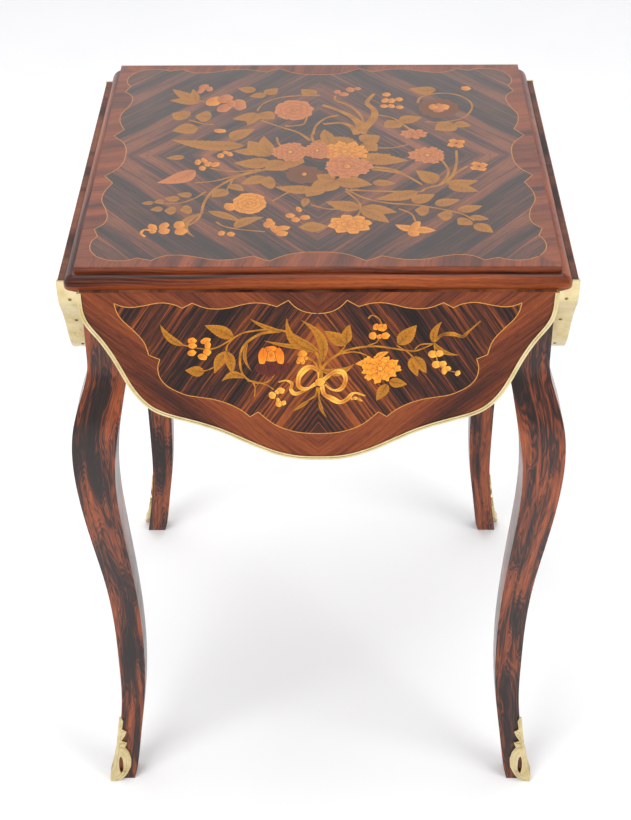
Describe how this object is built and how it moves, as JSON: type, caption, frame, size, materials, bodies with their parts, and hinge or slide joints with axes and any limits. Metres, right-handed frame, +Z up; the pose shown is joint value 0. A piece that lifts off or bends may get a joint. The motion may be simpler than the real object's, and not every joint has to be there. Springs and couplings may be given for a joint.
{
  "type": "sewing table",
  "caption": "Square cabriole-leg table with drop leaves on rule joints, brass-bound marquetry top, sliding leaf stays and gilt foot mounts.",
  "frame": {"origin": "on the floor under the centre of the top", "axes": "+X right seen from the front, +Y back, +Z up; rest pose with all leaves hanging"},
  "size_m": [0.5416, 0.5416, 0.745],
  "materials": {
    "marquetry": "polished rosewood ground with floral marquetry",
    "carcase_wood": "polished rosewood veneer",
    "leg_wood": "polished rosewood veneer",
    "inner_wood": "unfinished oak",
    "gilt_brass": "pale gilt brass, softly polished",
    "hinge_brass": "plain aged brass",
    "steel": "dull steel"
  },
  "bodies": {
    "frame": {"top_panel": "carcase_wood", "top_marquetry": "marquetry", "front_left_leg": "leg_wood", "front_right_leg": "leg_wood", "back_left_leg": "leg_wood", "back_right_leg": "leg_wood", "front_left_sabot": "gilt_brass", "front_right_sabot": "gilt_brass", "back_left_sabot": "gilt_brass", "back_right_sabot": "gilt_brass", "sabot_pins": "gilt_brass", "front_apron": "leg_wood", "right_apron": "leg_wood", "back_apron": "leg_wood", "left_apron": "leg_wood", "corner_blocks": "inner_wood", "hinge_top_plates": "hinge_brass", "hinge_pins": "steel", "hinge_top_screws": "steel", "top_fixing_screws": "steel", "stay_guides": "hinge_brass", "guide_screws": "steel"},
    "front_leaf_body": {"front_leaf": "carcase_wood", "front_leaf_marquetry": "marquetry", "front_leaf_band": "gilt_brass", "front_band_nails": "gilt_brass", "front_hinge_leaf_plates": "hinge_brass", "front_leaf_screws": "steel", "front_stay_bracket": "hinge_brass", "front_stay_pin": "steel"},
    "front_stay_body": {"front_stay": "hinge_brass"},
    "right_leaf_body": {"right_leaf": "carcase_wood", "right_leaf_marquetry": "marquetry", "right_leaf_band": "gilt_brass", "right_band_nails": "gilt_brass", "right_hinge_leaf_plates": "hinge_brass", "right_leaf_screws": "steel", "right_stay_bracket": "hinge_brass", "right_stay_pin": "steel"},
    "right_stay_body": {"right_stay": "hinge_brass"},
    "back_leaf_body": {"back_leaf": "carcase_wood", "back_leaf_marquetry": "marquetry", "back_leaf_band": "gilt_brass", "back_band_nails": "gilt_brass", "back_hinge_leaf_plates": "hinge_brass", "back_leaf_screws": "steel", "back_stay_bracket": "hinge_brass", "back_stay_pin": "steel"},
    "back_stay_body": {"back_stay": "hinge_brass"},
    "left_leaf_body": {"left_leaf": "carcase_wood", "left_leaf_marquetry": "marquetry", "left_leaf_band": "gilt_brass", "left_band_nails": "gilt_brass", "left_hinge_leaf_plates": "hinge_brass", "left_leaf_screws": "steel", "left_stay_bracket": "hinge_brass", "left_stay_pin": "steel"},
    "left_stay_body": {"left_stay": "hinge_brass"}
  },
  "joints": [
    {"name": "front_leaf_hinge", "type": "hinge", "parent": "frame", "child": "front_leaf_body", "pos_m": [0, -0.25, 0.7255], "axis": [-1, 0, 0], "range_deg": [0, 90]},
    {"name": "front_stay_pivot", "type": "hinge", "parent": "front_leaf_body", "child": "front_stay_body", "pos_m": [0, -0.2395, 0.6605], "axis": [-1, 0, 0], "range_deg": [-46, 1]},
    {"name": "right_leaf_hinge", "type": "hinge", "parent": "frame", "child": "right_leaf_body", "pos_m": [0.25, 0, 0.7255], "axis": [0, -1, 0], "range_deg": [0, 90]},
    {"name": "right_stay_pivot", "type": "hinge", "parent": "right_leaf_body", "child": "right_stay_body", "pos_m": [0.2395, 0, 0.6605], "axis": [0, -1, 0], "range_deg": [-46, 1]},
    {"name": "back_leaf_hinge", "type": "hinge", "parent": "frame", "child": "back_leaf_body", "pos_m": [0, 0.25, 0.7255], "axis": [1, 0, 0], "range_deg": [0, 90]},
    {"name": "back_stay_pivot", "type": "hinge", "parent": "back_leaf_body", "child": "back_stay_body", "pos_m": [0, 0.2395, 0.6605], "axis": [1, 0, 0], "range_deg": [-46, 1]},
    {"name": "left_leaf_hinge", "type": "hinge", "parent": "frame", "child": "left_leaf_body", "pos_m": [-0.25, 0, 0.7255], "axis": [0, 1, 0], "range_deg": [0, 90]},
    {"name": "left_stay_pivot", "type": "hinge", "parent": "left_leaf_body", "child": "left_stay_body", "pos_m": [-0.2395, 0, 0.6605], "axis": [0, 1, 0], "range_deg": [-46, 1]}
  ],
  "couplings": [
    {"joint": "front_stay_pivot", "follows": "front_leaf_hinge", "ratio": -0.4984},
    {"joint": "right_stay_pivot", "follows": "right_leaf_hinge", "ratio": -0.4984},
    {"joint": "back_stay_pivot", "follows": "back_leaf_hinge", "ratio": -0.4984},
    {"joint": "left_stay_pivot", "follows": "left_leaf_hinge", "ratio": -0.4984}
  ]
}
